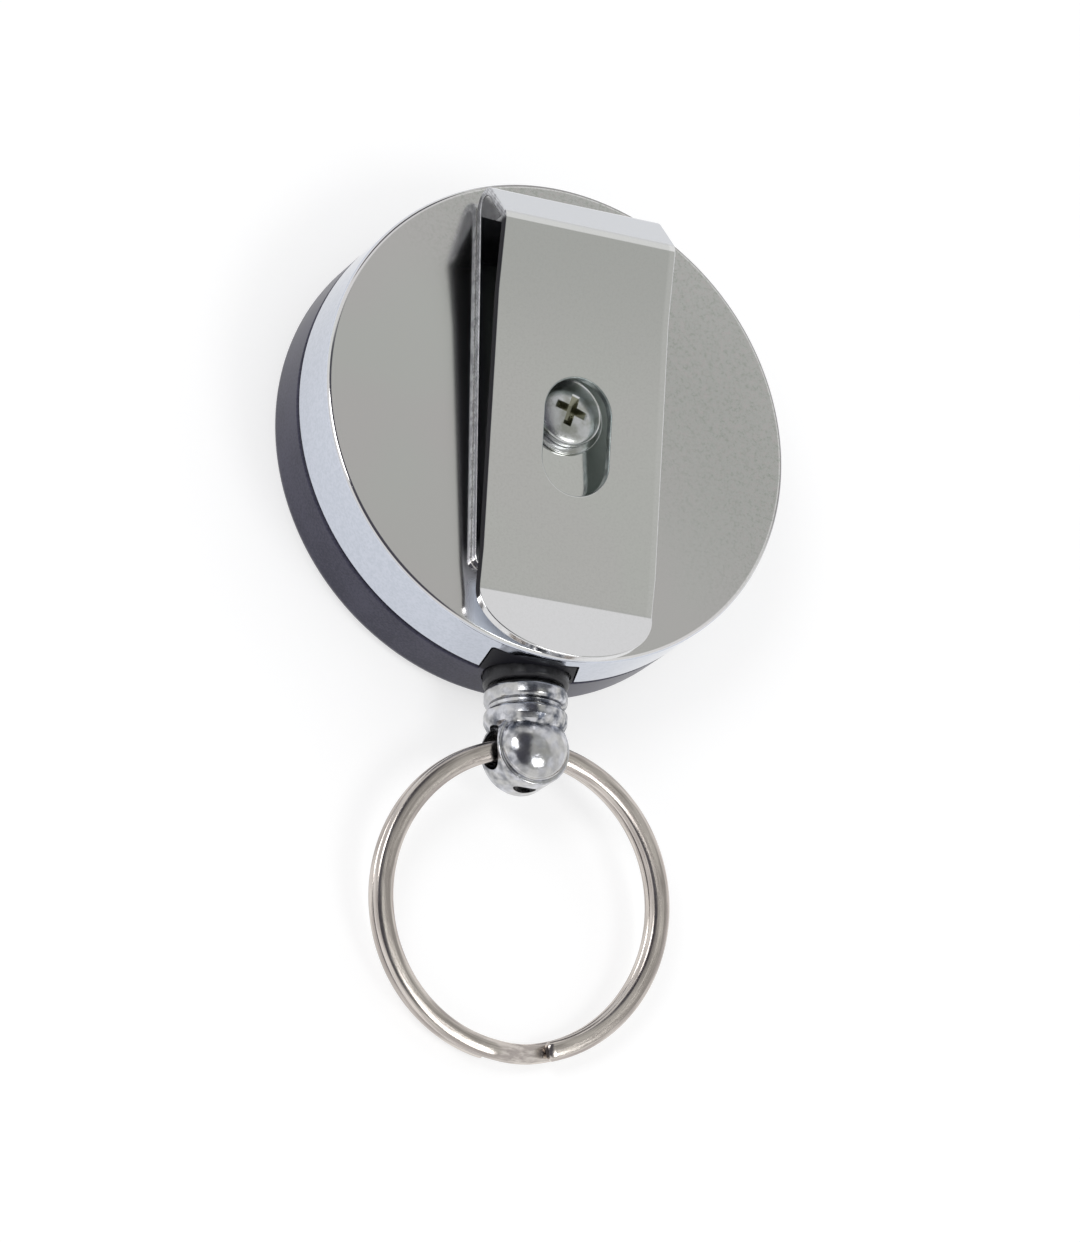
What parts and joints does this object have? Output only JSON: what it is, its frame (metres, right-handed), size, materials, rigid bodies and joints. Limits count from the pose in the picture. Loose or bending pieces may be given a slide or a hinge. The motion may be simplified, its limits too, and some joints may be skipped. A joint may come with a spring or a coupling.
{
  "type": "retractable key reel",
  "caption": "Round retractable key reel with a sprung belt clip, a steel cord on a spring drum, an eye fitting and a split key ring.",
  "frame": {"origin": "centre of the flat face of the front shell, which the reel lies on", "axes": "+Z from that face to the side with the belt clip, -Y the way the cord leaves the case, +X to the right when the clip faces the viewer and the mouth is below"},
  "size_m": [0.04, 0.07, 0.0164],
  "materials": {
    "black_plastic": "moulded black plastic with a fine satin grain",
    "chrome": "mirror chrome plate on a pressed cup",
    "black_nylon": "moulded black nylon",
    "steel": "turned steel",
    "white_nylon": "natural nylon",
    "grey_plastic": "moulded grey plastic",
    "spring_steel": "blued spring steel strip",
    "coated_wire": "stranded steel with a clear dark nylon coat",
    "clip_chrome": "mirror plated spring steel",
    "zinc": "zinc plated steel",
    "brass": "plain brass",
    "cast_chrome": "polished plate on a zinc casting",
    "nickel": "warm nickel plate on flat steel wire"
  },
  "bodies": {
    "case": {"front_shell": "black_plastic", "rear_cover": "chrome", "mouth_bush": "black_nylon", "centre_axle": "steel", "wear_washer": "white_nylon", "top_washer": "white_nylon", "clip_base": "clip_chrome", "clip_washer": "zinc", "clip_screw": "zinc"},
    "drum": {"drum": "grey_plastic", "drum_cap": "grey_plastic", "power_spring": "spring_steel", "wire_core": "coated_wire", "wire_winding": "coated_wire", "wire_anchor": "brass"},
    "clip_leaf": {"clip_leaf": "clip_chrome"},
    "wire_end": {"wire_tail": "coated_wire", "wire_ferrule": "brass"},
    "fitting": {"end_fitting": "cast_chrome"},
    "ring": {"split_ring": "nickel"}
  },
  "joints": [
    {"name": "wire_pull", "type": "slide", "parent": "case", "child": "wire_end", "axis": [0, -1, 0], "range_m": [0, 0.6], "stiffness_N_per_m": 2.5, "springref_m": -0.6},
    {"name": "drum_spin", "type": "hinge", "parent": "case", "child": "drum", "pos_m": [0, 0, 0.0055], "axis": [0, 0, 1], "range_deg": [0, 2460], "deforming": ["power_spring", "wire_winding"]},
    {"name": "fitting_swivel", "type": "hinge", "parent": "wire_end", "child": "fitting", "pos_m": [0, -0.0225, 0.0055], "axis": [0, 1, 0], "continuous": true},
    {"name": "ring_swing", "type": "hinge", "parent": "fitting", "child": "ring", "pos_m": [0, -0.02605, 0.0055], "axis": [1, 0, 0], "range_deg": [-121, 99]},
    {"name": "clip_flex", "type": "hinge", "parent": "case", "child": "clip_leaf", "pos_m": [0, 0.01662, 0.01386], "axis": [-1, 0, 0], "range_deg": [0, 7], "stiffness_Nm_per_rad": 0.25, "springref_deg": -11.46}
  ],
  "couplings": [
    {"joint": "drum_spin", "follows": "wire_pull", "rad_per_m": 71.429}
  ]
}
